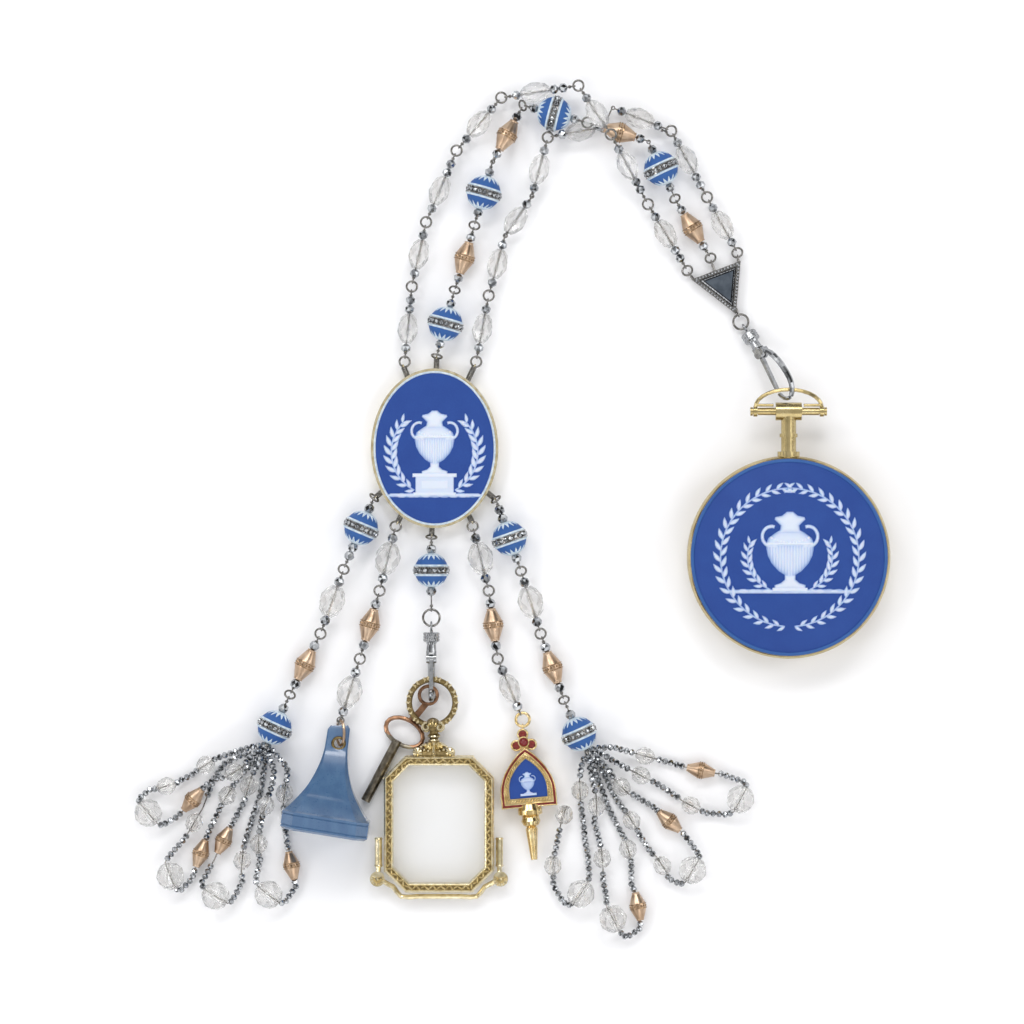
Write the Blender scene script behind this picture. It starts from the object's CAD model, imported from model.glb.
import math

import bmesh
import bpy
import numpy as np
from mathutils import Matrix, Vector


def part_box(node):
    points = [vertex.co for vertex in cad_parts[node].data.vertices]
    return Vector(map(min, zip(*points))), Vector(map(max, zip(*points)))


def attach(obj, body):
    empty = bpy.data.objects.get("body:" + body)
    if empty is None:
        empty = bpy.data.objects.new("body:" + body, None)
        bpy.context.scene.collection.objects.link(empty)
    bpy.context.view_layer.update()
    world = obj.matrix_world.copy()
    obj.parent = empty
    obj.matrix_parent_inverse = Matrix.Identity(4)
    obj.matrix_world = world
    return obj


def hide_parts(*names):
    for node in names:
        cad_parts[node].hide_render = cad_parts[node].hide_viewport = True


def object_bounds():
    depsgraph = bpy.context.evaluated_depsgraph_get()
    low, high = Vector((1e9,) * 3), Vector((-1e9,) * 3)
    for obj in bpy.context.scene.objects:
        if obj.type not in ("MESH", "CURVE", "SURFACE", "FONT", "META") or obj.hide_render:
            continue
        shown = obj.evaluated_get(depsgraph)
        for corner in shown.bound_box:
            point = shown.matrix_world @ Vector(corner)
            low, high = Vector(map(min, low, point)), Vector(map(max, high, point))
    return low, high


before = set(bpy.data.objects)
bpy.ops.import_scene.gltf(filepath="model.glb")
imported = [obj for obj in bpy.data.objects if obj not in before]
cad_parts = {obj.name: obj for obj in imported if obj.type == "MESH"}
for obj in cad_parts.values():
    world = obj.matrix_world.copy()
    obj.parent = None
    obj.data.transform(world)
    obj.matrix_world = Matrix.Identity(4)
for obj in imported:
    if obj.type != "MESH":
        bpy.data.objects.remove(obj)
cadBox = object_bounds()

mm = 0.001
rootBody = "chains"
# The CAD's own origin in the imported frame, from the middle of the watch's dial, which is known
dialAt = (77, -12.6)
dialLow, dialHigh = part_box("watch_dial")
dialX, dialY = (dialLow.x + dialHigh.x) / 2, (dialLow.y + dialHigh.y) / 2
origin = Vector((dialX - dialAt[0] * mm, dialY - dialAt[1] * mm, 0))


# Camera, floor and lights
view = {"height": 1.5, "width": 286.7 * mm}
cameraData = bpy.data.cameras.new("camera")
cameraData.sensor_width = 36
cameraData.lens = 36 * view["height"] / view["width"]
cameraData.clip_end = 20
camera = bpy.data.objects.new("camera", cameraData)
camera.location = (origin.x, origin.y, view["height"])
bpy.context.scene.collection.objects.link(camera)
bpy.context.scene.camera = camera


# Lamp that faces the origin
def areaLight(name, place, size, power):
    data = bpy.data.lights.new(name, "AREA")
    data.shape = "RECTANGLE"
    data.size, data.size_y = size
    data.energy = power
    lamp = bpy.data.objects.new(name, data)
    lamp.location = place
    lamp.rotation_euler = (-Vector(place)).to_track_quat("-Z", "Y").to_euler()
    bpy.context.scene.collection.objects.link(lamp)


areaLight("key", (-0.75, 0.85, 1.1), (0.6, 0.45), 4.5)
areaLight("fill", (0.95, 0.25, 0.9), (0.4, 0.8), 2.5)
areaLight("top", (0.1, 1.1, 1.3), (0.7, 0.3), 5)
areaLight("glintLow", (0.45, -0.9, 1.0), (0.3, 0.1), 1.2)
areaLight("glintSide", (-1.0, -0.3, 1.0), (0.12, 0.3), 1.2)


# Materials
def colour(code):
    parts = [int(code[i:i + 2], 16) / 255 for i in (0, 2, 4)]
    return tuple(c / 12.92 if c <= 0.04045 else ((c + 0.055) / 1.055) ** 2.4 for c in parts) + (1,)


def addNode(tree, kind, inputs=None, **settings):
    made = tree.nodes.new(kind)
    for key, value in settings.items():
        setattr(made, key, value)
    for key, value in (inputs or {}).items():
        if isinstance(value, bpy.types.NodeSocket):
            tree.links.new(value, made.inputs[key])
        else:
            made.inputs[key].default_value = value
    return made


def newMaterial(name, **sockets):
    made = bpy.data.materials.new(name)
    made.use_nodes = True
    tree = made.node_tree
    shader = tree.nodes["Principled BSDF"]
    for key, value in sockets.items():
        shader.inputs[key.replace("_", " ")].default_value = value
    return made, tree, shader


# Noise with patches of a size in millimetres
def noise(tree, size, detail, rough=0.5, stretch=None):
    points = addNode(tree, "ShaderNodeTexCoord").outputs["Object"]
    if stretch:
        points = addNode(tree, "ShaderNodeMapping", {"Vector": points, "Scale": stretch}).outputs[0]
    return addNode(tree, "ShaderNodeTexNoise", {
        "Vector": points, "Scale": 1 / (size * mm), "Detail": detail, "Roughness": rough
    }).outputs["Fac"]


# Colour codes or greys at places along a factor
def ramp(tree, factor, stops):
    made = addNode(tree, "ShaderNodeValToRGB", {"Fac": factor})
    elements = made.color_ramp.elements
    while len(elements) < len(stops):
        elements.new(0.5)
    for element, (place, shade) in zip(elements, stops):
        element.position = place
        element.color = colour(shade) if isinstance(shade, str) else (shade, shade, shade, 1)
    return made.outputs["Color"]


# Mix of two colours
def blend(tree, factor, first, second, **settings):
    return addNode(tree, "ShaderNodeMix", {"Factor": factor, "A": first, "B": second}, data_type="RGBA",
                   **settings).outputs["Result"]


# Links to a shader, with the bump's depth in millimetres
def joined(tree, shader, base=None, rough=None, height=None, depth=0.0):
    if base is not None:
        tree.links.new(base, shader.inputs["Base Color"])
    if rough is not None:
        tree.links.new(rough, shader.inputs["Roughness"])
    if height is not None:
        bump = addNode(tree, "ShaderNodeBump", {"Height": height, "Distance": depth * mm, "Strength": 1.0})
        tree.links.new(bump.outputs[0], shader.inputs["Normal"])


# Noise settings and stops for the colour and the roughness, noise settings and depth for the bump
def mottled(name, base, dull=None, uneven=None, **sockets):
    made, tree, shader = newMaterial(name, **sockets)
    tones = [ramp(tree, noise(tree, *part[0]), part[1]) if part else None for part in (base, dull)]
    if uneven:
        tones += [noise(tree, *uneven[0]), uneven[1]]
    joined(tree, shader, *tones)
    return made


def metal(name, dark, mid, light, rough, spread, depth, size):
    return mottled(name, ((size, 3), [(0.22, dark), (0.45, mid), (0.8, light)]),
                   ((size * 0.6, 3), [(0.3, rough - spread), (0.75, rough + spread)]),
                   ((size * 0.25, 3), depth), Metallic=1.0)


# Cut and polished steel of the beads, near black with mirror-bright facets
cutSteel = metal("cutSteel", "74777c", "a0a3a7", "c4c6c8", 0.05, 0.02, 0.0005, 2.0)
# Wire of the links, blackened with age
darkSteel = metal("darkSteel", "54524f", "7d7b78", "a3a19e", 0.16, 0.05, 0.001, 1.0)
# Steel of the clips, lighter and rubbed
clipSteel = metal("clipSteel", "74767a", "9b9da0", "bcbec0", 0.16, 0.05, 0.001, 1.5)
# Black polished steel of the triangle's plate
plateSteel = metal("plateSteel", "4b535d", "616a75", "7a838e", 0.12, 0.04, 0.0006, 3.0)
# Rubbed gilding over copper on the bicones
copperGilt = metal("copperGilt", "a48a70", "bba087", "d2bca4", 0.33, 0.04, 0.0006, 3.0)
# Their belts, with dirt between the grains
copperDark = metal("copperDark", "5f4a36", "967a5c", "c4a888", 0.3, 0.08, 0.003, 0.8)
# Brass of the watch case, dull yellow
watchBrass = metal("watchBrass", "a39162", "b8a678", "cdbe92", 0.26, 0.04, 0.0006, 4.0)
# Pale gilt brass of the plaque's rim and of the locket's mouldings
paleBrass = metal("paleBrass", "b5a57e", "d9cca8", "f0e8d0", 0.22, 0.05, 0.001, 1.6)
# The ground between the engraved leaves, dark with dirt
dirtyBrass = metal("dirtyBrass", "54462c", "7d6c48", "a18d63", 0.42, 0.08, 0.003, 0.9)
# The raised leaves themselves, matt and rubbed pale
leafBrass = metal("leafBrass", "d9c795", "ede0b8", "fff6dc", 0.42, 0.04, 0.001, 1.6)
# Bright gold of the arch pendant
brightGold = metal("brightGold", "c9a968", "dfc48d", "f2e2b8", 0.22, 0.04, 0.0006, 2.0)

# Crank key: a brown copper bow, and a grey steel pipe from so many millimetres along it
crankKey, tree, shader = newMaterial("crankKey", Metallic=1.0)
keyWay = {"start": (-23.4, -51.2), "along": (-0.468, -0.884), "pipe": 14.9}
local = addNode(tree, "ShaderNodeVectorMath", {
    0: addNode(tree, "ShaderNodeTexCoord").outputs["Object"],
    1: (origin.x + keyWay["start"][0] * mm, origin.y + keyWay["start"][1] * mm, 0)
}, operation="SUBTRACT").outputs[0]
down = addNode(tree, "ShaderNodeVectorMath", {0: local, 1: (*keyWay["along"], 0)},
               operation="DOT_PRODUCT").outputs["Value"]
onPipe = addNode(tree, "ShaderNodeMath", {0: down, 1: keyWay["pipe"] * mm}, operation="GREATER_THAN").outputs[0]
grainTone = noise(tree, 1.6, 3)
copperTone = ramp(tree, grainTone, [(0.25, "5b4334"), (0.5, "8a6850"), (0.8, "ab8468")])
pipeTone = ramp(tree, grainTone, [(0.25, "443d33"), (0.5, "6d665a"), (0.8, "918a7c")])
joined(tree, shader, blend(tree, onPipe, copperTone, pipeTone),
       ramp(tree, noise(tree, 1.0, 3), [(0.3, 0.26), (0.75, 0.38)]), noise(tree, 0.5, 3), 0.002)


def glass(name, tint, rough, line, share=1.0, through=1.0, ripple=3.0):
    made, tree, shader = newMaterial(
        name, Roughness=rough, IOR=line, Transmission_Weight=through, Base_Color=colour(tint), Alpha=share)
    joined(tree, shader, height=noise(tree, ripple, 2), depth=0.01)
    return made


# Clear cut glass of the beads and drops
crystal = glass("crystal", "fbfaf8", 0.01, 1.48, 0.62)
# Plain panes of the locket and the watch
paneGlass = glass("paneGlass", "eef0f1", 0.02, 1.4, 0.16, 0.0)
# Red glass of the arch pendant
rubyGlass = glass("rubyGlass", "8e0f1a", 0.06, 1.6, 1.0, 0.35, 0.8)
# Red enamel in the pendant's trefoil and round its edge
redEnamel = mottled("redEnamel", ((0.5, 3), [(0.3, "5a0e09"), (0.7, "8c1f14")]),
                    ((0.4, 2), [(0.3, 0.15), (0.7, 0.3)]), ((0.4, 2), 0.01), Coat_Weight=0.2, Coat_Roughness=0.06)


def jasper(name, deep, mid, pale):
    made, tree, shader = newMaterial(name, Specular_IOR_Level=0.3)
    grain = noise(tree, 0.22, 5, 0.65)
    fine = ramp(tree, grain, [(0.25, deep), (0.5, mid), (0.8, pale)])
    soft = ramp(tree, noise(tree, 6.0, 3), [(0.3, deep), (0.7, mid)])
    joined(tree, shader, blend(tree, 0.5, fine, soft), ramp(tree, grain, [(0.3, 0.48), (0.7, 0.64)]), grain, 0.02)
    return made


# Blue jasper of the plaque and the watch, a matt unglazed ceramic
blueJasper = jasper("blueJasper", "1b3c86", "234792", "3157a0")
# Blue jasper of the beads, a little paler
beadJasper = jasper("beadJasper", "2a5296", "34609f", "4570ab")

# White jasper of the reliefs: the blue shows through where it is thin
reliefJasper, tree, shader = newMaterial("reliefJasper", Subsurface_Weight=0.15, Subsurface_Scale=0.0008)
lift = addNode(tree, "ShaderNodeAttribute", attribute_name="rise").outputs["Fac"]
joined(tree, shader, ramp(tree, lift, [(0.0, "5f80c0"), (0.2, "93abd8"), (0.42, "c3d0e8"), (0.75, "e0e6ee")]),
       ramp(tree, noise(tree, 0.4, 3), [(0.3, 0.42), (0.7, 0.58)]), noise(tree, 0.3, 4), 0.015)

# White ornament of the beads, greyed with wear
whiteJasper = mottled("whiteJasper", ((1.0, 4), [(0.3, "a9bfd6"), (0.55, "cddbe6"), (0.8, "e6edf0")]),
                      ((0.4, 3), [(0.3, 0.45), (0.7, 0.62)]), ((0.25, 4), 0.015))
# Slate blue stone of the seal, streaked along its height
sealStone = mottled("sealStone", ((4.0, 5, 0.6, (1, 0.35, 1)), [(0.2, "375981"), (0.5, "42658c"), (0.8, "54779b")]),
                    ((0.5, 3), [(0.3, 0.26), (0.7, 0.38)]), ((0.5, 4), 0.003), Coat_Weight=1.0, Coat_Roughness=0.13)
# White enamel of the dial
dialEnamel = mottled("dialEnamel", ((5.0, 4), [(0.3, "e9e4d6"), (0.7, "f5f2ea")]),
                     ((1.0, 2), [(0.3, 0.12), (0.7, 0.2)]), ((1.5, 2), 0.01), Coat_Weight=0.5, Coat_Roughness=0.05)
# Black paint of the hour marks, and blued steel of the hands
blackPaint = mottled("blackPaint", ((0.5, 3), [(0.3, "121214"), (0.7, "26262a")]),
                     ((0.5, 2), [(0.3, 0.3), (0.7, 0.45)]))
# Matt white card of the floor
paleFloor = mottled("paleFloor", ((40.0, 2), [(0.3, "f8f8fa"), (0.7, "fbfbfd")]), Roughness=0.9,
                    Specular_IOR_Level=0.1)

# Studio: a pale room with bright and dark patches, which the cut steel and glass pick up
world = bpy.data.worlds.new("studio")
bpy.context.scene.world = world
world.use_nodes = True
tree = world.node_tree
facing = addNode(tree, "ShaderNodeTexCoord").outputs["Generated"]
up = addNode(tree, "ShaderNodeSeparateXYZ", {"Vector": facing}).outputs["Z"]
sky = ramp(tree, up, [(0.0, 0.5), (0.25, 0.75), (0.45, 1.0), (0.86, 0.95), (0.95, 0.4)])
clouds = addNode(tree, "ShaderNodeTexNoise", {"Vector": facing, "Scale": 2.6, "Detail": 0.0}).outputs["Fac"]
patches = ramp(tree, clouds, [(0.43, 0.03), (0.5, 0.42), (0.56, 1.0)])
overhead = ramp(tree, up, [(0.88, 1), (0.95, 0)])
tree.links.new(blend(tree, overhead, sky, patches, blend_type="MULTIPLY"), tree.nodes["Background"].inputs["Color"])
tree.nodes["Background"].inputs["Strength"].default_value = 1.72
bpy.context.scene.view_settings.view_transform = "Standard"
print("camera and lights")

# Materials of the CAD nodes, by how their names end; the first that fits holds
endings = {
    "triangle_frame": darkSteel, "plate": plateSteel, "arch_frame": brightGold, "frame": paleBrass,
    "bracket": paleBrass, "case": watchBrass, "bow": watchBrass, "dial": dialEnamel, "glass": paneGlass,
    "_jasper": blueJasper, "relief": reliefJasper, "key": crankKey, "body": sealStone, "long_link": copperGilt,
    "stone": rubyGlass, "links": darkSteel, "chain": darkSteel, "steel_beads": cutSteel, "crystals": crystal,
    "gilt_beads": copperGilt, "tassel_gilt": copperGilt, "jasper_beads": beadJasper, "belts": cutSteel,
    "head": beadJasper, "strings": cutSteel, "eye": clipSteel, "hook": clipSteel, "lever": clipSteel
}
for name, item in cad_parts.items():
    item.data.materials.clear()
    item.data.materials.append(next(material for ending, material in endings.items() if name.endswith(ending)))
print("materials")


# Shapes that the pieces are made of, taken from a bmesh as corners in millimetres and faces
def taken(work, shut=True):
    bmesh.ops.remove_doubles(work, verts=work.verts, dist=0.0005)
    if shut:
        bmesh.ops.recalc_face_normals(work, faces=work.faces)
    work.verts.index_update()
    shape = np.array([v.co[:] for v in work.verts]), [[v.index for v in f.verts] for f in work.faces]
    work.free()
    return shape


# Section of radius and height turned on a lathe; a closed one comes back on itself
def turned(rows, sides, closed=False):
    work = bmesh.new()
    if not closed:
        rows = [(0, rows[0][1])] + list(rows) + [(0, rows[-1][1])]
    corners = [work.verts.new((radius, 0, height)) for radius, height in rows]
    ends = corners[1:] + corners[:1] if closed else corners[1:]
    edges = [work.edges.new(pair) for pair in zip(corners, ends)]
    bmesh.ops.spin(work, geom=corners + edges, cent=(0, 0, 0), axis=(0, 0, 1), angle=math.tau,
                   steps=sides, use_merge=True)
    return taken(work)


# Stone cut in flat facets: the hull of rings, every second one turned by half a side
def cutStone(rows, sides):
    work = bmesh.new()
    for k, (radius, height) in enumerate(rows):
        bmesh.ops.create_circle(work, segments=sides, radius=radius, matrix=Matrix.Translation(
            (0, 0, height)) @ Matrix.Rotation(math.pi * (k % 2) / sides, 4, "Z"))
    bmesh.ops.convex_hull(work, input=work.verts)
    return taken(work)


# Ring of round wire
def wireRing(radius, wire, turns=40, sides=12):
    steps = [math.tau * k / sides for k in range(sides)]
    return turned([(radius + wire * math.cos(a), wire * math.sin(a)) for a in steps], turns, closed=True)


# Wire bent along points
def bent(points, radius):
    curve = bpy.data.curves.new("bent", "CURVE")
    curve.dimensions = "3D"
    curve.bevel_depth = radius
    curve.bevel_resolution = 1
    curve.use_fill_caps = True
    line = curve.splines.new("POLY")
    line.points.add(len(points) - 1)
    for corner, point in zip(line.points, points):
        corner.co = (*point, 1)
    holder = bpy.data.objects.new("bent", curve)
    mesh = bpy.data.meshes.new_from_object(holder)
    work = bmesh.new()
    work.from_mesh(mesh)
    bpy.data.objects.remove(holder)
    bpy.data.curves.remove(curve)
    bpy.data.meshes.remove(mesh)
    return taken(work)


# Skin through rings of points; a closed one comes back to its first ring, another gets its ends filled
def lofted(rings, closed=False):
    work = bmesh.new()
    ring = [work.verts.new(p) for p in rings[0]]
    edges = [work.edges.new(pair) for pair in zip(ring, ring[1:] + ring[:1])]
    if not closed:
        work.faces.new(ring)
    number = {v: i for i, v in enumerate(ring)}
    for places in rings[1:] + rings[:closed]:
        grown = bmesh.ops.extrude_edge_only(work, edges=edges)["geom"]
        fresh = {}
        for v in [item for item in grown if isinstance(item, bmesh.types.BMVert)]:
            fresh[v] = next(number[e.other_vert(v)] for e in v.link_edges if e.other_vert(v) in number)
        for v, i in fresh.items():
            v.co = places[i]
        edges = [e for v in fresh for e in v.link_edges if e.other_vert(v) in fresh]
        edges = list(dict.fromkeys(edges))
        number = fresh
    if not closed:
        bmesh.ops.contextual_create(work, geom=edges)
    return taken(work)


# Moulding along an outline, from a row of insets and heights
def moulding(outline, profile):
    return lofted([[(x, y, height) for x, y in outline(inset)] for inset, height in profile], closed=True)


# Pointed leaf with a rib, two long and two wide before it is scaled
def leafShape():
    work = bmesh.new()
    bmesh.ops.create_grid(work, x_segments=6, y_segments=4, size=1)
    for v in work.verts:
        x, y = v.co.x, v.co.y
        v.co = (x, y * (1 - x * x) ** 0.7, 1.15 * (1 - x * x) ** 0.5 * (1 - abs(y) ** 1.4) - 0.3)
    return taken(work, shut=False)


leafUnit = leafShape()
grainUnit = turned([(1, -0.3), (0.95, 0.15), (0.7, 0.7), (0.3, 0.95)], 8)


# Frame at a place in metres, its Z along an axis
def toward(place, axis, turn=0.0):
    facing = Vector(axis).to_track_quat("Z", "Y").to_matrix().to_4x4()
    return Matrix.Translation(place) @ facing @ Matrix.Rotation(turn, 4, "Z")


# Frame of a piece from the CAD's own place of it in millimetres
def placed(place=(0, 0, 0)):
    return Matrix.Translation(origin + Vector(place) * mm)


# Shape turned and scaled at a place in millimetres
def blob(place, size=1, turn=0.0, facing=(0, 0, 1)):
    return toward(Vector(place) * mm, facing, turn) @ Matrix.Diagonal((*(np.ones(3) * size), 1))


# Direction at an angle in the plane, and such directions evenly round a circle with their numbers
def ray(angle):
    return Vector((math.cos(angle), math.sin(angle), 0))


def around(count, start=0.0):
    return [(i, ray(math.tau * (i + start) / count)) for i in range(count)]


# Copies of shapes as one mesh: each entry is a shape, its matrix in metres and its material's number if not 0
def makePiece(name, entries, materials, body=rootBody, replaces=(), smooth=False):
    corners, faces, numbers, first = [], [], [], 0
    for shape, place, *number in entries:
        rows = np.array(place)
        corners.append(shape[0] * mm @ rows[:3, :3].T + rows[:3, 3])
        faces += [[first + i for i in face] for face in shape[1]]
        numbers += (number or [0]) * len(shape[1])
        first += len(shape[0])
    mesh = bpy.data.meshes.new(name)
    mesh.from_pydata(np.concatenate(corners), [], faces)
    for item in materials:
        mesh.materials.append(item)
    mesh.polygons.foreach_set("material_index", numbers)
    return settled(name, mesh, body, replaces, smooth)


# Mesh set into the scene as a piece that rides on a body
def settled(name, mesh, body, replaces, smooth):
    mesh.polygons.foreach_set("use_smooth", [smooth] * len(mesh.polygons))
    mesh.update()
    piece = bpy.data.objects.new(name, mesh)
    bpy.context.scene.collection.objects.link(piece)
    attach(piece, body)
    if replaces:
        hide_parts(*replaces)
    return piece


# Items in groups that hang together
def grouped(items, neighbours):
    seen, groups = set(), []
    for start in items:
        if start in seen:
            continue
        seen.add(start)
        stack, group = [start], []
        while stack:
            item = stack.pop()
            group.append(item)
            for other in neighbours(item):
                if other not in seen:
                    seen.add(other)
                    stack.append(other)
        groups.append(group)
    return groups


# Merged copy of a CAD node
def copied(name):
    work = bmesh.new()
    work.from_mesh(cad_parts[name].data)
    bmesh.ops.remove_doubles(work, verts=work.verts, dist=0.002 * mm)
    return work


# Loose parts of a CAD node, as arrays of corners in millimetres
def looseParts(name):
    work = copied(name)
    groups = grouped(work.verts, lambda v: [e.other_vert(v) for e in v.link_edges])
    parts = [np.array([v.co[:] for v in group]) / mm for group in groups]
    work.free()
    return parts


# Those parts with the middle of each, its directions from longest to shortest, and its half sizes along them
def measured(name):
    found = []
    for part in looseParts(name):
        middle = part.mean(0)
        ways = np.linalg.svd(part - middle, full_matrices=False)[2]
        along = (part - middle) @ ways.T
        centre = middle + (along.max(0) + along.min(0)) / 2 @ ways
        found.append((part, centre, ways, (along.max(0) - along.min(0)) / 2))
    return found


# A link is a pin where it is much longer than wide, and otherwise a ring
def isPin(half):
    return half[0] > 1.8 * half[1]


linkNodes = ("outer_links", "middle_links", "inner_links",
             "left_chain", "seal_chain", "centre_chain", "key_chain", "right_chain")
pins = []
for name in linkNodes:
    pins += [(name, part, centre, ways[0], half[0]) for part, centre, ways, half in measured(name) if isPin(half)]


# Direction of the pin that a point lies on
def pinAlong(point):
    def gap(pin):
        offset = point - pin[2]
        run = offset @ pin[3]
        return np.linalg.norm(offset - run * pin[3]) + max(0, abs(run) - pin[4])
    return min(pins, key=gap)[3]


# Steel beads, cut in triangular facets
steelCut = {"sides": 7, "turn": 2.39996}
steelShape = cutStone([(0.5, -1.22), (1.3, -0.5), (1.3, 0.5), (0.5, 1.22)], steelCut["sides"])
for strand in ("outer", "middle", "inner"):
    entries = []
    for k, (part, centre, ways, half) in enumerate(measured(strand + "_steel_beads")):
        entries.append((steelShape, toward(Vector(centre) * mm, pinAlong(centre), k * steelCut["turn"])))
    makePiece(strand + "SteelBeads", entries, [cutSteel], replaces=(strand + "_steel_beads",))

# The lower chains' beads are one solid with their pins, so their facets go over them
shellShape = cutStone([(0.45, -1.36), (1.16, -0.92), (1.5, 0), (1.16, 0.92), (0.45, 1.36)], steelCut["sides"])
entries = []
for name, part, centre, way, half in pins:
    if not name.endswith("chain"):
        continue
    offset = part - centre
    run = offset @ way
    out = offset - run[:, None] * way
    wide = np.linalg.norm(out, axis=1) > 0.85
    if not wide.any():
        continue
    ordered = np.sort(run[wide])
    for group in np.split(ordered, np.where(np.diff(ordered) > 0.4)[0] + 1):
        middle = (group[0] + group[-1]) / 2
        near = out[wide & (abs(run - middle) < 0.9)]
        width = np.ptp((near - near.mean(0)) @ np.linalg.svd(near - near.mean(0), full_matrices=False)[2][1])
        if width > 1.7 and np.ptp(group) > 1.0:
            place = Vector(centre + middle * way) * mm
            entries.append((shellShape, toward(place, way, len(entries) * steelCut["turn"])))
makePiece("lowerSteelFacets", entries, [cutSteel])
print("steel beads", len(entries))


# Gilt bicones with a belt of grains between two lips, as shares of the half width and half length
bicone = [(0.34, -1), (0.42, -0.99), (0.44, -0.95), (0.4, -0.93), (0.47, -0.84), (0.7, -0.5), (0.88, -0.22),
          (0.9, -0.17)]
bicone += [(r, -z) for r, z in reversed(bicone)]
lip = [(0.86, -0.035), (0.97, -0.03), (0.98, 0.03), (0.86, 0.035)]
giltNodes = {"middle_gilt_beads": 18, "lower_gilt_beads": 18, "left_tassel_gilt": 16, "right_tassel_gilt": 16}
for name, count in giltNodes.items():
    bodies, belts = [], []
    for part, centre, ways, half in measured(name):
        place = toward(Vector(centre) * mm, ways[0])
        bodies.append((turned([(r * half[1], z * half[0]) for r, z in bicone], 32), place))
        edge = turned([(r * half[1], z * half[0]) for r, z in lip], 32, closed=True)
        for side in (-1, 1):
            belts.append((edge, place @ Matrix.Translation((0, 0, side * 0.15 * half[0] * mm))))
        size = math.pi * half[1] * 0.9 / count * 0.96
        belts += [(grainUnit, place @ blob(out * (half[1] * 0.97 - size), size, 0, out)) for i, out in around(count)]
    plain = name.replace("_", " ").title().replace(" ", "")
    makePiece("cones" + plain, bodies, [copperGilt], replaces=(name,), smooth=True)
    makePiece("grains" + plain, belts, [copperDark])
print("gilt beads")


# Jasper beads: blue ball, white caps of pointed leaves and white lines beside the belt
ball = {"radius": 4.7, "half": 4.5, "groove": 1.0, "seat": 4.15,
        "leaves": 14, "leaf": 0.4, "capFrom": 0.13, "capTo": 0.52}


def sphereRow(radius, polar):
    return radius * math.sin(polar), radius * math.cos(polar)


# Ball with its hole and the groove of its belt
def ballShape():
    rows = [(0.5, -ball["half"])]
    first, last = math.asin(ball["half"] / (ball["radius"] + 0.02)), math.asin(ball["groove"] / ball["radius"])
    for k in range(13):
        a = -first + (first - last) * k / 12
        rows.append((ball["radius"] * math.cos(a), ball["radius"] * math.sin(a)))
    rows += [(ball["seat"], -ball["groove"])]
    rows += [(r, -z) for r, z in reversed(rows)]
    return turned(rows, 48, closed=True)


# White cap round the hole, one of the leaves that point from it, and the line beside the belt
def capShape():
    over, under = ball["radius"] + 0.12, ball["radius"] - 0.1
    rows = [sphereRow(over, ball["capFrom"] + (ball["capTo"] - ball["capFrom"]) * k / 5) for k in range(6)]
    return turned([sphereRow(under, ball["capFrom"])] + rows + [sphereRow(under, ball["capTo"])], 48, closed=True)


def ballLeaf():
    work = bmesh.new()
    bmesh.ops.create_grid(work, x_segments=4, y_segments=5, size=1)
    for v in work.verts:
        part, share = -v.co.x, (v.co.y + 1) / 2
        polar = ball["capTo"] - 0.02 + ball["leaf"] * share
        wide = math.pi / ball["leaves"] * (1 - share ** 2) * math.sin(ball["capTo"]) / math.sin(polar)
        r, z = sphereRow(ball["radius"] + 0.14 - 0.22 * part ** 2, polar)
        v.co = (r * math.cos(wide * part), r * math.sin(wide * part), z)
    return taken(work, shut=False)


def lineShape():
    low, high = ball["groove"] + 0.06, ball["groove"] + 0.62
    section = ((low, -0.1), (low, 0.2), (low + 0.12, 0.26), (high - 0.12, 0.24), (high, 0.14), (high, -0.1))
    return turned([(math.sqrt(ball["radius"] ** 2 - z * z) + lift, z) for z, lift in section], 64, closed=True)


# Belt of cut stones: a band with raised lips and a row of faceted studs
belt = {"inside": 4.18, "half": 0.95, "studs": 21, "grains": 54}
section = [(belt["inside"], -belt["half"]), (4.92, -belt["half"]), (4.92, -0.78), (4.62, -0.72)]
beltBand = turned(section + [(r, -z) for r, z in reversed(section)], 64, closed=True)
stud = cutStone([(0.66, -0.5), (0.7, -0.1), (0.56, 0.2), (0.28, 0.36)], 6)
ballMesh, capMesh, leafMesh, lineMesh = ballShape(), capShape(), ballLeaf(), lineShape()
headNames = ("left_tassel_head", "right_tassel_head")
for label, nodes, beltNode in (
    ("middle", ("middle_jasper_beads",), "middle_belts"),
    ("lower", ("lower_jasper_beads",) + headNames, "lower_belts")
):
    balls, whites, belts = [], [], []
    for part, centre, ways, half in measured(beltNode):
        place = toward(Vector(centre) * mm, ways[2])
        balls.append((ballMesh, place))
        for side in (0, math.pi):
            flipped = place @ Matrix.Rotation(side, 4, "X")
            whites += [(capMesh, flipped), (lineMesh, flipped)]
            whites += [(leafMesh, flipped @ Matrix.Rotation(math.tau * i / ball["leaves"], 4, "Z"))
                       for i in range(ball["leaves"])]
        belts.append((beltBand, place))
        for i, out in around(belt["grains"]):
            for z in (-0.86, 0.86):
                belts.append((grainUnit, place @ blob(out * 4.8 + Vector((0, 0, z)), 0.25, 0, out), 2))
        belts += [(stud, place @ blob(out * 4.83, 1, i * steelCut["turn"], out), 1)
                  for i, out in around(belt["studs"])]
    makePiece(label + "JasperBalls", balls, [beadJasper], replaces=nodes, smooth=True)
    makePiece(label + "JasperLeaves", whites, [whiteJasper], smooth=True)
    makePiece(label + "SteelBelts", belts, [darkSteel, cutSteel, clipSteel], replaces=(beltNode,))
print("jasper beads")


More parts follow.
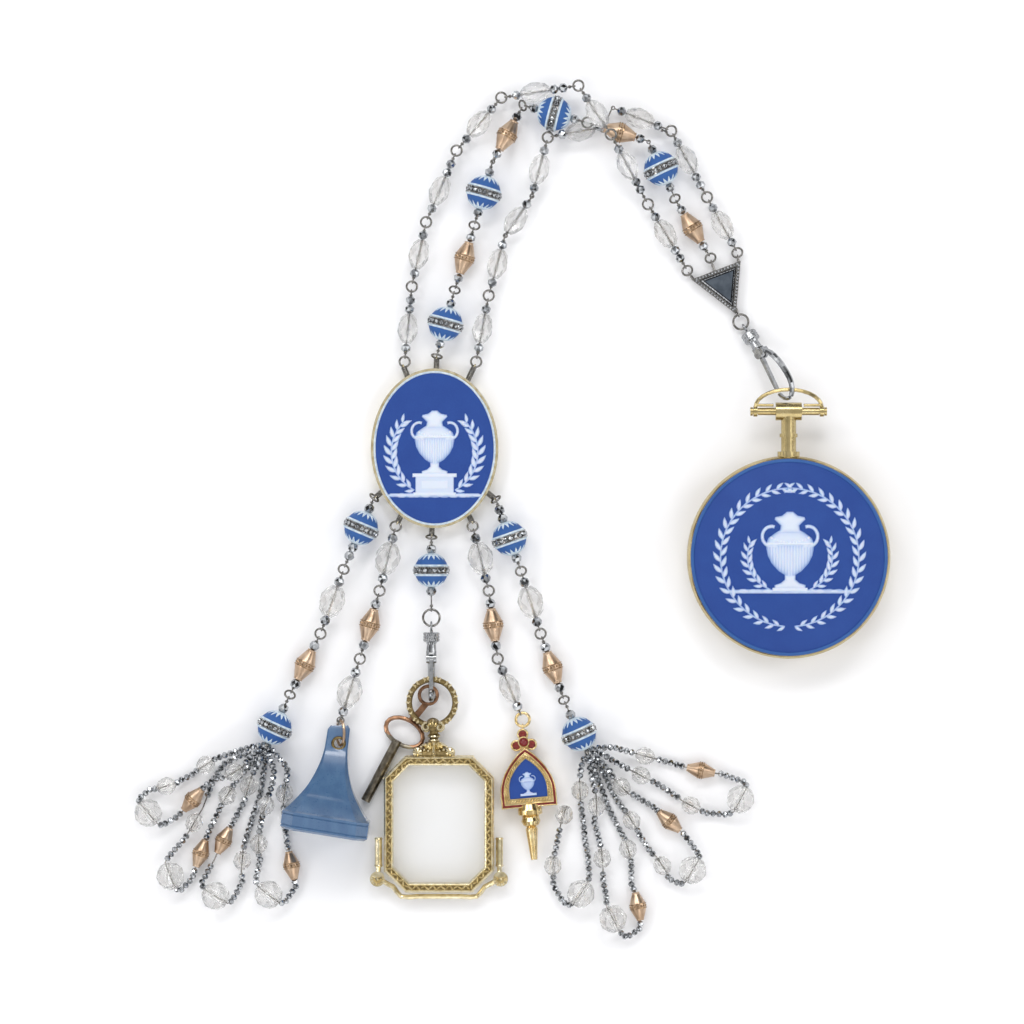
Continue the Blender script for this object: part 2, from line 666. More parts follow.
# Tassel strings: the middles of a CAD tube's rings, walked from one end cap to the other
def tubePaths(name, sides=8):
    work = copied(name)
    flat = grouped(work.faces, lambda f: [other for e in f.edges for other in e.link_faces
                                          if f.normal.angle(other.normal, 3) < 0.01])
    caps = []
    for group in flat:
        corners = {v for f in group for v in f.verts}
        if len(group) >= sides - 2 and len(corners) == sides:
            caps.append(corners)
    paths, used = [], set()
    for cap in caps:
        if any(v in used for v in cap):
            continue
        row, path = set(cap), []
        while row:
            used |= row
            path.append(np.mean([v.co[:] for v in row], axis=0) / mm)
            row = {e.other_vert(v) for v in row for e in v.link_edges} - used
        paths.append(np.array(path))
    work.free()
    return paths


seed = {"pitch": 1.66, "low": 1.0, "clear": 0.35, "reach": 9, "knot": 0.8}
seedShape = cutStone([(0.34, -0.76), (0.8, -0.5), (0.98, 0), (0.8, 0.5), (0.34, 0.76)], 6)
knots = {"left": (-68.5, -65, 4.4), "right": (21, -67, 4.4)}
for side in ("left", "right"):
    onString = [(centre, half[0]) for ending in ("_tassel_crystals", "_tassel_gilt")
                for part, centre, ways, half in measured(side + ending)]
    seeds, cores = [], []
    knot = np.array(origin) / mm + np.array(knots[side])
    for path in tubePaths(side + "_tassel_strings"):
        total = np.concatenate([[0], np.cumsum(np.linalg.norm(np.diff(path, axis=0), axis=1))])
        count = round(total[-1] / seed["pitch"])
        for i in range(count):
            run = (i + 0.5) * total[-1] / count
            point, ahead, behind = [np.array([np.interp(at, total, path[:, c]) for c in range(3)])
                                    for at in (run, run + 0.5, run - 0.5)]
            point[2] = max(point[2], seed["low"])
            if all(np.linalg.norm(point - c) >= h + seed["clear"] for c, h in onString):
                seeds.append((seedShape, toward(Vector(point) * mm, ahead - behind, i * steelCut["turn"])))
        cores.append((bent(path, 0.2), Matrix.Identity(4)))
        for end in (path[0], path[-1]):
            gap = np.linalg.norm(end - knot)
            count = round((gap - seed["knot"]) / seed["pitch"]) if gap < seed["reach"] else 0
            for i in range(count):
                point = end + (knot - end) * (i + 0.6) * seed["pitch"] / gap
                seeds.append((seedShape, toward(Vector(point) * mm, knot - end, i * steelCut["turn"])))
    makePiece(side + "Seeds", seeds, [cutSteel], replaces=(side + "_tassel_strings",))
    makePiece(side + "Threads", cores, [darkSteel], smooth=True)
    print("seeds", side, len(seeds))


# Reliefs: a fine sheet whose height is the depth inside the outlines of a drawing
def insideDepth(points, outline):
    ring = np.array(outline, float)
    after = np.roll(ring, -1, axis=0)
    gap = np.full(len(points), 1e9)
    odd = np.zeros(len(points), bool)
    for p, q in zip(ring, after):
        step = q - p
        share = np.clip((points - p) @ step / max(step @ step, 1e-12), 0, 1)
        gap = np.minimum(gap, np.hypot(*(points - p - share[:, None] * step).T))
        if p[1] != q[1]:
            crossing = (p[1] > points[:, 1]) != (q[1] > points[:, 1])
            odd ^= crossing & (points[:, 0] < p[0] + (points[:, 1] - p[1]) * step[0] / step[1])
    return np.where(odd, gap, -gap)


def reliefSheet(name, shapes, pitch, surface, place, body, node):
    every = np.concatenate([np.array(s["outline"], float) for s in shapes])
    low, high = every.min(0) - 0.5, every.max(0) + 0.5
    work = bmesh.new()
    rises = work.verts.layers.float.new("rise")
    bmesh.ops.create_grid(work, x_segments=int((high[0] - low[0]) / pitch),
                          y_segments=int((high[1] - low[1]) / pitch), size=1)
    points = (np.array([v.co[:2] for v in work.verts]) + 1) / 2 * (high - low) + low
    height = np.full(len(points), -0.35)
    for shape in shapes:
        ring = np.array(shape["outline"], float)
        near = np.all((points > ring.min(0) - 0.4) & (points < ring.max(0) + 0.4), axis=1)
        depth = insideDepth(points[near], ring)
        rise = shape["rise"] * np.sqrt(1 - (1 - np.clip(depth / shape["soft"], 0, 1)) ** 2)
        if "flutes" in shape:
            rise *= 1 - 0.35 * np.cos(points[near][:, 0] * 2 * math.pi / shape["flutes"]) ** 2
        height[near] = np.maximum(height[near], np.where(depth > 0, rise, depth))
    spots = np.column_stack([points, surface(points) + height]) * mm
    for v, spot, lift in zip(work.verts, spots, height):
        v.co = spot
        v[rises] = max(lift, 0)
    work.verts.index_update()
    empty = [f for f in work.faces if all(height[v.index] < -0.2 for v in f.verts)]
    bmesh.ops.delete(work, geom=empty, context="FACES")
    mesh = bpy.data.meshes.new(name)
    work.to_mesh(mesh)
    work.free()
    mesh.transform(place)
    mesh.materials.append(reliefJasper)
    return settled(name, mesh, body, (node,), True)


# One part of a relief: its outline, its height, and how far in from its edge it is rounded
def raised(outline, rise, soft, **more):
    return {"outline": outline, "rise": rise, "soft": soft, **more}


# Outline turned and moved to a place
def swung(points, angle, place):
    c, s = math.cos(angle), math.sin(angle)
    return [(place[0] + x * c - y * s, place[1] + x * s + y * c) for x, y in points]


def leafOutline(size, width, bend):
    steps = (0.0, 0.12, 0.25, 0.4, 0.55, 0.7, 0.85, 1.0)
    sides = [(t, 1) for t in steps] + [(t, -1) for t in steps[-2:0:-1]]
    return [(t * size, size * (side * math.sin(math.pi * t ** 0.8) * width / 2 / size + bend * t * (1 - t)))
            for t, side in sides]


# Strip of a width along points
def band(points, width):
    left, right = [], []
    for i, p in enumerate(points):
        a, b = points[max(i - 1, 0)], points[min(i + 1, len(points) - 1)]
        length = math.hypot(b[0] - a[0], b[1] - a[1])
        nx, ny = -(b[1] - a[1]) / length, (b[0] - a[0]) / length
        left.append((p[0] + nx * width / 2, p[1] + ny * width / 2))
        right.append((p[0] - nx * width / 2, p[1] - ny * width / 2))
    return left + right[::-1]


def circleOutline(place, radius, sides):
    angles = [math.tau * i / sides for i in range(sides)]
    return [(place[0] + radius * math.cos(a), place[1] + radius * math.sin(a)) for a in angles]


# Half width and height of the urn's outline, as shares of its height
urnRows = [(0.2, 0), (0.2, 0.05), (0.12, 0.075), (0.07, 0.12), (0.07, 0.18), (0.15, 0.23), (0.24, 0.33),
           (0.29, 0.43), (0.31, 0.53), (0.305, 0.6), (0.28, 0.66), (0.2, 0.72), (0.13, 0.76), (0.12, 0.82),
           (0.2, 0.9), (0.19, 0.93), (0.1, 0.95), (0.04, 1)]


def urnShapes(place, size, rise):
    def at(points):
        return [(place[0] + x * size, place[1] + y * size) for x, y in points]

    def part(low, high, soft=0.16, **more):
        rows = [row for row in urnRows if low <= row[1] <= high]
        return raised(at(rows + [(-w, h) for w, h in reversed(rows)]), rise, size * soft, **more)

    shapes = [part(0, 0.18, 0.05), part(0.12, 0.6, flutes=size * 0.075), part(0.53, 0.76), part(0.72, 1, 0.08)]
    for side in (-1, 1):
        handle = [(side * (0.24 + 0.12 * math.sin(a)), 0.68 + 0.13 * math.cos(a))
                  for a in [math.radians(d) for d in range(-20, 221, 15)]]
        shapes.append(raised(band(at(handle), size * 0.045), rise * 0.75, size * 0.022))
        curl = circleOutline(at([(side * 0.2, 0.56)])[0], size * 0.045, 14)
        shapes.append(raised(curl, rise * 0.9, size * 0.04))
    shapes.append(raised(band(at([(-0.3, 0.585), (0.3, 0.585)]), size * 0.035), rise * 1.15, size * 0.017))
    for bead in at([(0.04 * i, 0.6 + 0.06 * (i / 6) ** 2) for i in range(-6, 7)]):
        shapes.append(raised(circleOutline(bead, size * 0.022, 10), rise * 1.2, size * 0.02))
    return shapes


# Stem along an arc with a leaf to one side and the other by turns
def sprayShapes(place, radius, start, sweep, count, size, side, rise):
    def at(points):
        return [(place[0] + side * x, place[1] + y) for x, y in points]

    def onArc(share):
        a = math.radians(start + sweep * share)
        return a, (radius * math.cos(a), radius * math.sin(a))

    stem = band(at([onArc(i / count)[1] for i in range(count + 1)]), size * 0.13)
    shapes = [raised(stem, rise * 0.5, size * 0.07)]
    for i in range(2 * count + 1):
        a, foot = onArc(i / (2 * count))
        long = size * (0.72 + 0.28 * math.sin(math.pi * (i + 1) / (2 * count + 2)))
        for inward in (1, -1):
            if i % 2 == (inward < 0) and i < 2 * count:
                continue
            angle = a + math.copysign(math.pi / 2, sweep) + math.radians(32) * inward
            leaf = swung(leafOutline(long, long * 0.36, 0.14 * inward), angle, foot)
            shapes.append(raised(at(leaf), rise * 0.8, size * 0.16))
    return shapes


def blockShape(half, low, high, rise, soft=0.25):
    return raised([(-half, low), (half, low), (half, high), (-half, high)], rise, soft)


# Ground of small rounded stones along a line
def groundShapes(half, y, rise):
    shapes, x = [], -half
    while x < half:
        k = len(shapes)
        size = 0.75 + 0.35 * abs(math.sin(k * 1.7))
        flat = 1 - max(0, abs(x / half) - 0.8) * 2
        stone = [(x + size * 1.5 * math.cos(a), y + flat * size * 0.62 * math.sin(a))
                 for a in [math.pi * i / 7 for i in range(14)]]
        shapes.append(raised(stone, rise * (0.75 + 0.25 * math.cos(k * 2.3)), 0.5))
        x += size * 1.35
    return shapes


# Grounds of the reliefs: a flat one, and the watch's dome further down
def level(points):
    return np.zeros(len(points))


plaque = {"width": 35.6, "height": 44.6, "relief": 0.66}
plaqueLow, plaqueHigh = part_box("plaque_jasper")
plaqueMiddle = (plaqueLow + plaqueHigh) / 2
rise, wide = plaque["relief"], plaque["width"]
baseY, plinthW, plinthH = -plaque["height"] * 0.3, wide * 0.3, plaque["height"] * 0.13
shapes = groundShapes(wide * 0.36, baseY + 0.2, rise * 0.8)
for half, low, high, share, soft in (
    (wide * 0.35, 0, 0.8, 0.6, 0.25), (plinthW / 2, 0.2, plinthH, 0.75, 0.25), (plinthW * 0.56, 0.1, 1.1, 0.95, 0.25),
    (plinthW * 0.58, plinthH - 0.5, plinthH + 0.6, 1, 0.25), (plinthW * 0.36, 1.9, plinthH - 1.3, 0.95, 0.4)
):
    shapes.append(blockShape(half, baseY + low, baseY + high, rise * share, soft))
shapes += urnShapes((0, baseY + plinthH + 0.3), plaque["height"] * 0.4, rise)
for side in (-1, 1):
    shapes += sprayShapes((0, baseY + wide * 0.345), wide * 0.34, -62, 104, 9, wide * 0.105, side, rise)
reliefSheet("plaqueRelief", shapes, 0.16, level,
            Matrix.Translation((plaqueMiddle.x, plaqueMiddle.y, plaqueHigh.z)), rootBody, "plaque_relief")


# Pale line at the edge of a jasper plate, which laps over the inside of its rim
def ovalOutline(inset):
    return [((plaque["width"] / 2 - inset) * out.x, (plaque["height"] / 2 - inset) * out.y) for i, out in around(120)]


top = plaqueHigh.z / mm
makePiece("plaqueEdge", [(moulding(ovalOutline, [
    (0.75, top - 0.2), (0.77, top + 0.34), (0.85, top + 0.4), (1.05, top + 0.36), (1.3, top + 0.1), (1.36, top - 0.2)
]), Matrix.Translation((plaqueMiddle.x, plaqueMiddle.y, 0)))], [whiteJasper], smooth=True)
print("plaque relief")

watch = {"jasper": 53.4, "dome": 4.6, "relief": 0.6}
watchPlace = Matrix.Translation((dialX, dialY, 0))
domeRadius = ((watch["jasper"] / 2) ** 2 + watch["dome"] ** 2) / (2 * watch["dome"])
rise = watch["relief"]
baseY = -watch["jasper"] * 0.17
wreath = watch["jasper"] * 0.36
shapes = groundShapes(wreath * 0.86, baseY - 0.3, rise * 0.8)
shapes.append(blockShape(wreath * 0.87, baseY - 0.9, baseY, rise * 0.6))
shapes.append(blockShape(4.9, baseY - 0.3, baseY + 0.7, rise))
shapes += urnShapes((0, baseY + 0.4), watch["jasper"] * 0.4, rise)
for side in (-1, 1):
    shapes += sprayShapes((0, 0), wreath, -86, 174, 19, 3.6, side, rise)
    shapes += sprayShapes((side * 2.2, baseY + 9.2), 9.6, -70, 92, 7, 3.2, side, rise)


def domeTop(flat):
    return np.sqrt(domeRadius ** 2 - (flat ** 2).sum(1)) - domeRadius


# Lift to the top of a node
def raisedTo(node):
    return Matrix.Translation((0, 0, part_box(node)[1].z))


reliefSheet("watchRelief", shapes, 0.17, domeTop, raisedTo("watch_jasper") @ watchPlace, "watch", "watch_relief")

# The arch pendant's own frame, turned as it lies
arch = {"at": (4.2, -74), "turn": 5, "wide": 15.6, "foot": -8.4, "top": 8.2, "front": 5.2}
archPlace = placed((*arch["at"], 0)) @ Matrix.Rotation(math.radians(arch["turn"]), 4, "Z")
shapes = urnShapes((0, -4.7), 6.2, 0.4)
shapes.append(blockShape(2.3, -5.2, -4.5, 0.42, 0.2))
reliefSheet("archRelief", shapes, 0.08, level, raisedTo("arch_jasper") @ archPlace, rootBody, "arch_relief")
print("reliefs")


# Places evenly along an outline, with the direction there
def spaced(ring, step):
    ends = ring + [ring[0]]
    lengths = [math.dist(a, b) for a, b in zip(ends, ends[1:])]
    count = max(1, round(sum(lengths) / step))
    found = []
    for i in range(count):
        run = (i + 0.5) * sum(lengths) / count
        for a, b, length in zip(ends, ends[1:], lengths):
            if run <= length:
                t = run / length
                found.append((a[0] + (b[0] - a[0]) * t, a[1] + (b[1] - a[1]) * t,
                              math.atan2(b[1] - a[1], b[0] - a[0])))
                break
            run -= length
    return found


# Stouter wire over the jump rings and the eyes of the pins, and two turns of wire at the foot of each eye
wire = {"ring": 0.29, "eye": 0.24, "turns": 0.17}
eyeShape, turnShape = wireRing(0.5, wire["eye"], 28, 10), wireRing(0.34, wire["turns"], 14, 6)
entries = []
goldBelow = origin.y / mm - 56  # the key chain's lowest ring is the pendant's own gold one
for name in linkNodes:
    for part, centre, ways, half in measured(name):
        if half[0] < 1.2 * half[1] and half[2] < 0.4 * half[0]:
            gold = int(name == "key_chain" and centre[1] < goldBelow)
            ring = wireRing(half[0] - half[2], max(wire["ring"], half[2] + 0.03) + 0.12 * gold)
            entries.append((ring, toward(Vector(centre) * mm, ways[2]), gold))
        elif isPin(half):
            for side in (-1, 1):
                eye = centre + side * (half[0] - 0.68) * ways[0]
                near = part[np.linalg.norm(part - eye, axis=1) < 0.75]
                if len(near) < 12:
                    continue
                across = np.linalg.svd(near - near.mean(0), full_matrices=False)[2]
                if np.ptp((near - near.mean(0)) @ across[2]) < 0.7:
                    entries.append((eyeShape, toward(Vector(eye) * mm, across[2])))
                    for back in (0.85, 1.15):
                        foot = eye - side * back * ways[0]
                        entries.append((turnShape, toward(Vector(foot) * mm, ways[0])))
makePiece("stoutLinks", entries, [darkSteel, brightGold], smooth=True)
print("links", len(entries))

# Wire wound round the plaque's lugs, from its rim to the first eye
entries = []
plaqueAt = np.array([plaqueMiddle.x, plaqueMiddle.y]) / mm
frameCorners = np.concatenate(looseParts("plaque_frame"))
offset = frameCorners[:, :2] - plaqueAt
outside = np.hypot(offset[:, 0] * 2 / plaque["width"], offset[:, 1] * 2 / plaque["height"]) > 1.04
lugs, angles = frameCorners[outside], np.arctan2(offset[outside, 1], offset[outside, 0])
order = np.argsort(angles)
for group in np.split(order, np.where(np.diff(angles[order]) > 0.12)[0] + 1):
    end = lugs[group].mean(0)
    away = end[:2] - plaqueAt
    share = np.hypot(away[0] * 2 / plaque["width"], away[1] * 2 / plaque["height"])
    foot = np.array([*(plaqueAt + away / share), end[2]])
    place = toward(Vector(foot) * mm, end - foot)
    count = max(2, int(np.linalg.norm(end - foot) / 0.34) + 1)
    for k in range(count):
        entries.append((turnShape, place @ blob((0, 0, 0.34 * k), (1.7, 1.7, 1.2))))
makePiece("plaqueWindings", entries, [darkSteel], smooth=True)
print("lugs", len(entries))

# Triangle: a row of bright grains along its edge
triangle = {"corners": np.array([(50.2, 65), (63.9, 70.2), (62.6, 55.4)])}


# Its outline, drawn in by a share of the way to its middle
def triangleOutline(share):
    corners = triangle["corners"]
    return [tuple(p) for p in corners + (corners.mean(0) - corners) * share]


entries = [(grainUnit, placed() @ blob((x, y, 2.7), (0.45, 0.45, 0.6), a)) for x, y, a in
           spaced(triangleOutline(0.115), 0.92)]
makePiece("triangleGrains", entries, [clipSteel], smooth=True)
# The plate's bevel, ground brighter than its top
bevel = moulding(triangleOutline, [(0.25, 2.2), (0.255, 2.5), (0.4, 2.84), (0.415, 2.6)])
makePiece("plateBevel", [(bevel, placed())], [clipSteel])

# Collars of the two clips: rows of grains round their edges
collars = {
    "watch_clip": ((65.12, 51.42, 1.4), (0.488, -0.803, 0.342)),
    "centre_clip": ((-22.5, -31.8, 5.2), (0, -1, 0))
}
for body, (eye, way) in collars.items():
    entries = []
    place = placed() @ toward(Vector(eye) * mm, way)
    for height, start in ((2.2, 0), (3.05, 0.5), (3.9, 0)):
        for i, out in around(22, start):
            entries.append((grainUnit, place @ blob(out * 1.99 + Vector((0, 0, height)), (0.3, 0.42, 0.3), 0, out)))
    makePiece(body + "Collar", entries, [clipSteel], body=body, smooth=True)
print("triangle and collars")

# Locket: moulded octagon with two bright ridges and leaves between them, engraved ring, clasp and shells
locket = {"at": (-20.4, -87.1, 0), "wide": 30.6, "tall": 38, "cut": 6, "thick": 6.8, "leafStep": 1.15,
          "ringAt": (-22.3, -53.2, 3.6), "ring": 6.4, "wire": 0.8, "claspAt": (-21.8, -65.6, 3.4)}
locketPlace, ringPlace, clasp = [placed(locket[key]) for key in ("at", "ringAt", "claspAt")]


def octagon(inset):
    w, h = locket["wide"] / 2 - inset, locket["tall"] / 2 - inset
    c = locket["cut"] - inset * (2 - math.sqrt(2))
    ring = [(w, h - c), (w - c, h), (c - w, h), (-w, h - c)]
    return ring + [(-x, -y) for x, y in ring]


# Section of the frame as insets and drops from its face, the same at its back
top = locket["thick"]
face = [(0.22, 1.8), (0, 1.5), (0, 0.9), (0.1, 0.4), (0.35, 0.08), (0.62, 0.05), (0.8, 0.3), (0.86, 0.52),
        (1.9, 0.52), (1.96, 0.3), (2.16, 0.12), (2.4, 0.2), (2.6, 0.6)]
profile = [(inset, top - drop) for inset, drop in face] + face[::-1]
ground = [(0.84, top - 0.7), (0.84, top - 0.44), (1.92, top - 0.44), (1.92, top - 0.7)]
entries = [(moulding(octagon, profile), locketPlace), (moulding(octagon, ground), locketPlace, 1)]
for k, (x, y, a) in enumerate(spaced(octagon(1.38), locket["leafStep"])):
    along, across = ray(a), Vector((-math.sin(a), math.cos(a), 0))
    spot, flip = Vector((x, y, top - 0.32)), 1 if k % 2 else -1
    size = (0.62 + 0.3 * math.sin(1.7 * k) ** 2, 0.3, 0.5)
    lean = a + flip * (0.45 + 0.5 * math.sin(2.4 * k) ** 2)
    entries.append((leafUnit, locketPlace @ blob(spot + across * 0.12 * math.sin(3.1 * k), size, lean), 2))
    dot = spot + along * (0.55 + 0.15 * math.sin(4.3 * k)) + across * 0.36 * flip - Vector((0, 0, 0.02))
    entries.append((grainUnit, locketPlace @ blob(dot, (0.19, 0.19, 0.36)), 2))
for k, (x, y, a) in enumerate(spaced(octagon(0), 1.0)):
    out = Vector((math.sin(a), -math.cos(a), 0))
    spot = Vector((x, y, top / 2)) - out * 0.12
    entries.append((leafUnit, locketPlace @ blob(spot, (0.85, 0.26, 0.3), 0.7 if k % 2 else -0.7, out), 2))
entries.append((wireRing(locket["ring"], locket["wire"], 72, 16), ringPlace, 1))
for i in range(26):
    a = math.tau * (i + 0.2 * math.sin(2.9 * i)) / 26
    for row, lean in ((0.3, 0.5), (1.05, -0.8), (1.75, 0.6)):
        for side in (1, -1):
            away = abs(math.cos(row))
            out = Vector((math.cos(a) * away, math.sin(a) * away, side * math.sin(row)))
            seat = ray(a) * locket["ring"] + out * 0.72
            turn = math.pi / 2 + lean * (1 if i % 2 else -1)
            entries.append((leafUnit, ringPlace @ blob(seat, (0.6, 0.26, 0.34), turn, out), 2))

# Clasp between the ring and the octagon: a boss with curls, a neck, and a fan of leaves with a rosette at each end
bell = [(5.7, -3.3), (5.8, -2.3), (5.1, -1.3), (3.1, -0.3), (2.0, 0.7), (1.5, 1.7), (1.1, 2.3),
        (1.6, 2.8), (1.8, 3.2), (1.2, 3.8), (1.1, 4.8)]
boss, fan = Vector((-0.3, 6.1, 0)), Vector((0, 1.5, 0))
upward = Matrix.Rotation(-math.pi / 2, 4, "X")
entries += [
    (turned(bell, 32), clasp @ Matrix.Diagonal((1, 1, 0.36, 1)) @ upward, 1),
    (turned(bell[4:], 20), clasp @ upward, 1),
    (turned([(0.6, -2.0), (1.6, -1.35), (2.05, 0), (1.6, 1.35), (0.6, 2.0)], 20), clasp @ blob(boss), 1),
    (wireRing(1.55, 0.3, 28, 8), clasp @ blob((0, 3.0, 0), facing=(0, 1, 0))),
    (wireRing(1.4, 0.22, 28, 8), clasp @ blob((0, 1.9, 0), facing=(0, 1, 0))),
    (leafUnit, clasp @ blob((0, -1.6, 1.7), (3.4, 0.9, 1.1), math.pi / 2))
]
knob = turned([(0.4, -1.6), (1.25, -1.1), (1.45, 0), (1.2, 0.7), (0.5, 0.95)], 18)
for side in (-1, 1):
    eye, curl = boss + Vector((side * 1.8, -0.5, 0)), []
    for k in range(22):
        a, r = math.pi * (0.5 - side * 1.9 * k / 21), 1.25 - 0.95 * k / 21
        curl.append(eye + Vector((r * math.cos(a), r * math.sin(a), 1.45)))
    entries.append((bent(curl, 0.42), clasp))
    entries.append((wireRing(0.95, 0.62, 24, 10), clasp @ blob(eye + Vector((0, 0, 0.4)))))
    rosette = Vector((side * 4.5, -1.5, 0.9))
    entries.append((knob, clasp @ blob(rosette)))
    for i, out in around(6):
        petal = rosette + out * 0.8 + Vector((0, 0, 0.75))
        entries.append((leafUnit, clasp @ blob(petal, (0.62, 0.38, 0.5), math.tau * i / 6)))
    entries.append((grainUnit, clasp @ blob(rosette + Vector((0, 0, 0.95)), (0.38, 0.38, 0.45))))
    for k, (length, wide) in enumerate(((2.6, 0.8), (3.0, 0.85), (3.2, 0.9))):
        a = -math.pi / 2 + side * (0.42 + 0.36 * k)
        root, reach = fan + Vector((side * 0.4, 0, 0)), ray(a) * length
        middle, tip = root + reach * 0.62 + Vector((0, 0, 1.5 - 0.1 * k)), root + reach * 1.1 + Vector((0, 0, 1.6))
        entries.append((leafUnit, clasp @ blob(middle, (length * 0.6, wide * 0.62, 0.8), a)))
        entries.append((grainUnit, clasp @ blob(tip, (0.42, 0.42, 0.5))))
for k in (-1, 0, 1):
    spot = boss + Vector((0.75 * k, 0.6 - 0.4 * abs(k), 1.8))
    entries.append((leafUnit, clasp @ blob(spot, (1.2, 0.48, 0.6), math.pi / 2 - 0.5 * k)))
makePiece("locketMoulding", entries, [paleBrass, dirtyBrass, leafBrass], body="centre_clip",
          replaces=("locket_frame",))

entries = []
for side in (-1, 1):
    shell = Vector((side * 17.2, -15.4, 4.15))
    for k in range(9):
        a = -math.pi / 2 + side * (-1.9 + 3.8 * k / 8)
        spot = shell + ray(a) * 1.05
        entries.append((leafUnit, locketPlace @ blob(spot, (1.1, 0.36, 0.62), a)))
    entries.append((grainUnit, locketPlace @ blob(shell + Vector((0, 0, 0.25)), (0.6, 0.6, 0.7))))
    for y in (-11.6, -4.2):
        entries.append((wireRing(1.0, 0.2, 24, 8), locketPlace @ blob((side * 16.9, y, 3.4), facing=(0, 1, 0))))
makePiece("locketShells", entries, [paleBrass], body="centre_clip")
print("locket")

# Arch pendant: thin gold rim, a line of red enamel, and a twisted gold border round the inset
def archOutline(inset):
    w, foot, top = arch["wide"] - 2 * inset, arch["foot"] + inset, arch["top"] - 1.25 * inset
    side = [(w / 2 * (1 - t * t * 0.9) - 0.4 * t, foot + (top - foot) * (0.25 + t * 0.75))
            for t in [i / 9 for i in range(9)]]
    return [(-w / 2, foot), (w / 2, foot)] + side + [(0, top)] + [(-x, y) for x, y in reversed(side)]


# Ridge of the border between two insets, as high as given over the pendant's front
def ridge(first, last, high, soft=0.1):
    low, high = arch["front"] - 0.2, arch["front"] + high
    return moulding(archOutline, [(first, low), (first, high - soft), (first + soft, high), (last - soft, high),
                                  (last, high - soft), (last, low)])


entries = [(ridge(0.0, 0.34, 0.3), archPlace), (ridge(0.9, 1.2, 0.34), archPlace),
           (ridge(0.34, 0.9, 0.1, 0.05), archPlace, 1), (ridge(1.3, 2.4, 0.06, 0.03), archPlace, 2)]
for x, y, a in spaced(archOutline(1.85), 0.8):
    entries.append((leafUnit, archPlace @ blob((x, y, arch["front"] + 0.14), (0.7, 0.24, 0.42), a + 0.85)))
for x, y in ((-0.2, 12), (-2.2, 9), (2, 9)):
    entries.append((wireRing(1.35, 0.28, 32, 10), archPlace @ blob((x, y, 4.3))))
    entries.append((turned([(1.15, -0.4), (1.15, 0.1), (0.8, 0.26)], 24), archPlace @ blob((x, y, 4.1)), 1))
entries.append((wireRing(1.4, 0.24, 32, 10), archPlace @ blob((-0.1, 9.8, 4.4))))
for radius, y in ((2.75, -9.4), (2.2, -11.2), (1.75, -13.0), (1.45, -14.4)):
    entries.append((wireRing(radius, 0.2, 36, 8), archPlace @ blob((0, y, 3.4), facing=(0, 1, 0))))
makePiece("archBorders", entries, [brightGold, redEnamel, watchBrass], smooth=True)
print("arch pendant")

# Seal: eight-sided stone, drawn smoothly between the source's rows, with two lines round its plate
seal = {"at": (-48.2, -59.6), "lean": 0.136, "slant": 0.16, "hole": (-0.2, -5), "holeR": 1.7}
sealRows = np.array([
    (0, 2.4, 0.9, 3.2), (-1, 3.1, 1.2, 3.3), (-6.5, 3.2, 1.3, 4), (-12, 4.2, 2.6, 5.6),
    (-17.5, 6.4, 5, 7.6), (-22, 9.4, 7.6, 9.2), (-24.4, 11.4, 9.4, 9.9)
])
sealPlate = [(y, 12 - 0.2 * groove, 10 - 0.2 * groove, 10) for y, groove in (
    (-24.8, 0), (-25.4, 0), (-25.6, 1), (-25.8, 0), (-28.4, 0), (-28.6, 1), (-28.8, 0), (-29.2, 0), (-29.8, 4))]


# Eight corners at a height, from half the width, half the depth and the middle's height over the table
def sealRing(y, w, h, z):
    c, lean, turn = 0.32 * h, y * seal["lean"], seal["slant"] * min(1, -y / 12)
    ring = [(w, h - c), (w - c, h), (c - w, h), (-w, h - c)]
    return [(x + lean, y - turn * x, z + up) for x, up in ring + [(-x, -up) for x, up in ring]]


# Rows with smooth ones between them
def between(rows, steps):
    found = [rows[0]]
    for i in range(1, len(rows) - 1):
        a, b, c, d = rows[i - 1], rows[i], rows[i + 1], rows[min(i + 2, len(rows) - 1)]
        for k in range(steps if i > 1 else 1):
            t = k / steps
            found.append(0.5 * (2 * b + (c - a) * t + (2 * a - 5 * b + 4 * c - d) * t * t
                                + (3 * b - a - 3 * c + d) * t ** 3))
    return found + [rows[-1]]


sealShape = lofted([sealRing(*row) for row in between(sealRows, 5) + sealPlate])
sealPlace = placed((*seal["at"], 0))
stone = makePiece("sealStone", [(sealShape, sealPlace)], [sealStone], replaces=("seal_body",),
                  smooth=True)
# Its hole, bored by a cylinder that is thrown away
work = bmesh.new()
bmesh.ops.create_cone(work, cap_ends=True, segments=36, radius1=seal["holeR"] * mm, radius2=seal["holeR"] * mm,
                      depth=24 * mm, matrix=sealPlace @ blob((*seal["hole"], 5)))
drill = bpy.data.objects.new("drill", bpy.data.meshes.new("drill"))
work.to_mesh(drill.data)
work.free()
bpy.context.scene.collection.objects.link(drill)
boring = stone.modifiers.new("boring", "BOOLEAN")
boring.object = drill
boring.solver = "EXACT"
bored = bpy.data.meshes.new_from_object(stone.evaluated_get(bpy.context.evaluated_depsgraph_get()))
stone.modifiers.clear()
stone.data = bored
bpy.data.objects.remove(drill)
bored.set_sharp_from_angle(angle=math.radians(26))
worn = stone.modifiers.new("worn edges", "BEVEL")
worn.width = 0.14 * mm
worn.segments = 2
worn.limit_method = "ANGLE"
worn.angle_limit = math.radians(32)
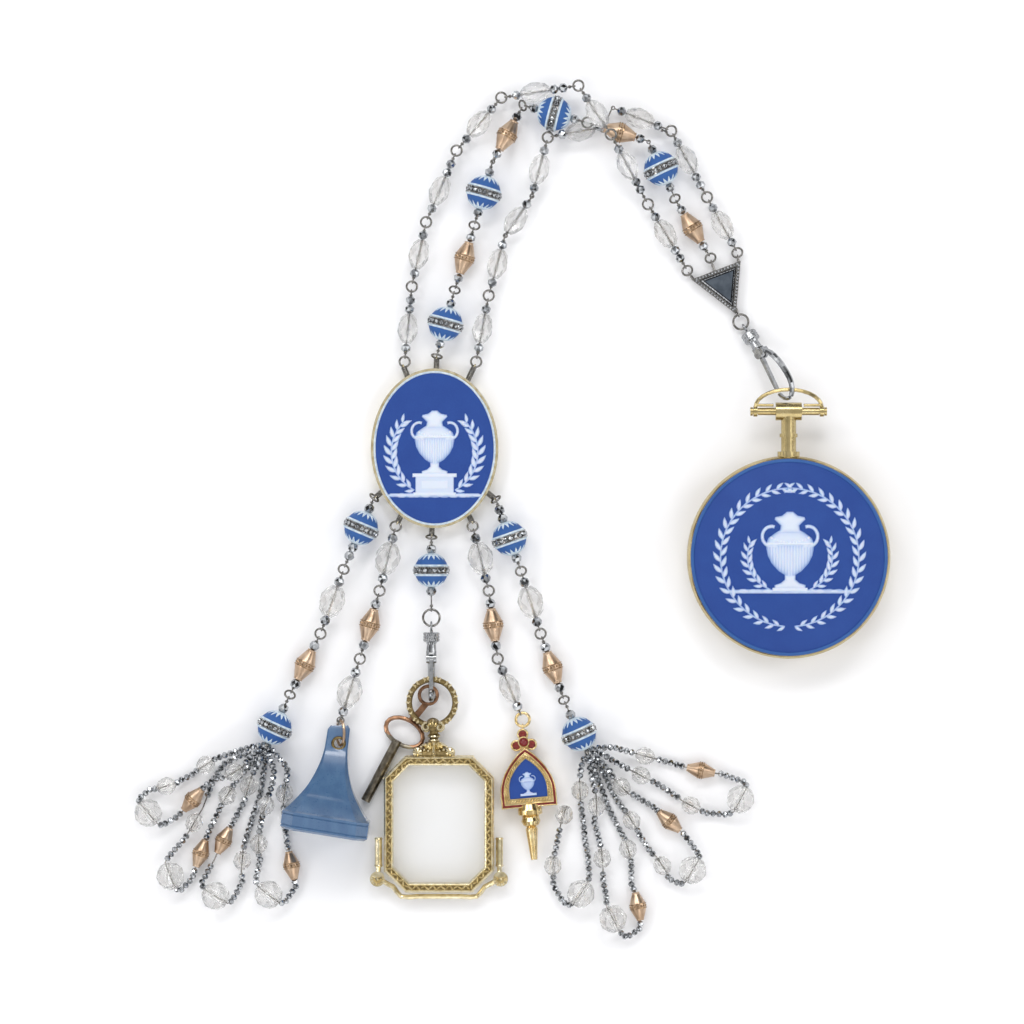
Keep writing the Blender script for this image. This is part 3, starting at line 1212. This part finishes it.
eyelet = turned([(1.3, 2.5), (1.3, 5.2), (1.55, 5.34), (2.05, 5.2), (1.66, 5.0), (1.66, 2.7), (2.05, 2.5),
                 (1.55, 2.36)], 36, closed=True)
makePiece("sealEyelet", [(eyelet, sealPlace @ blob((*seal["hole"], 0)))], [dirtyBrass],
          smooth=True)
print("seal")

# Edge of the watch's dome, lapped over the inside of the rim
edge = turned([(26.4, 12.0), (26.5, 12.5), (27.0, 12.42), (27.35, 12.28), (27.4, 12.1), (27.3, 12.0)], 128,
              closed=True)
makePiece("watchEdge", [(edge, watchPlace)], [beadJasper], body="watch", smooth=True)

# Underside of the watch: hour marks, minute marks and hands of the dial, behind its glass
marks = []
for hour in range(12):
    a = math.tau * hour / 12
    for part in ((-0.05, 0.05) if hour % 3 == 0 else (0,)):
        spot = (21 * math.sin(a + part), 21 * math.cos(a + part), 2.14)
        marks.append((grainUnit, watchPlace @ blob(spot, (0.45, 2.2, 0.06), -a)))
for i, out in around(60):
    marks.append((grainUnit, watchPlace @ blob(out * 24 + Vector((0, 0, 2.14)), (0.22, 0.22, 0.05))))
for a, size, wide, z in ((-0.9, 12, 0.9, 1.95), (1.1, 18, 0.6, 1.8)):
    work = bmesh.new()
    outline = [(-wide, -3), (-wide * 0.6, 0), (-wide, size * 0.6), (0, size), (wide, size * 0.6), (wide * 0.6, 0),
               (wide, -3)]
    blade = work.faces.new([work.verts.new((x, y, z)) for x, y in outline])
    grown = bmesh.ops.extrude_face_region(work, geom=[blade])["geom"]
    bmesh.ops.translate(work, verts=[v for v in grown if isinstance(v, bmesh.types.BMVert)], vec=(0, 0, 0.1))
    marks.append((taken(work), watchPlace @ Matrix.Rotation(-a, 4, "Z")))
makePiece("dialMarks", marks, [blackPaint], body="watch")
print("watch")

# Floor
work = bmesh.new()
bmesh.ops.create_grid(work, x_segments=1, y_segments=1, size=2, matrix=Matrix.Translation((0, 0, cadBox[0][2])))
floorMesh = bpy.data.meshes.new("floor")
work.to_mesh(floorMesh)
work.free()
floorMesh.materials.append(paleFloor)
floor = bpy.data.objects.new("floor", floorMesh)
bpy.context.scene.collection.objects.link(floor)
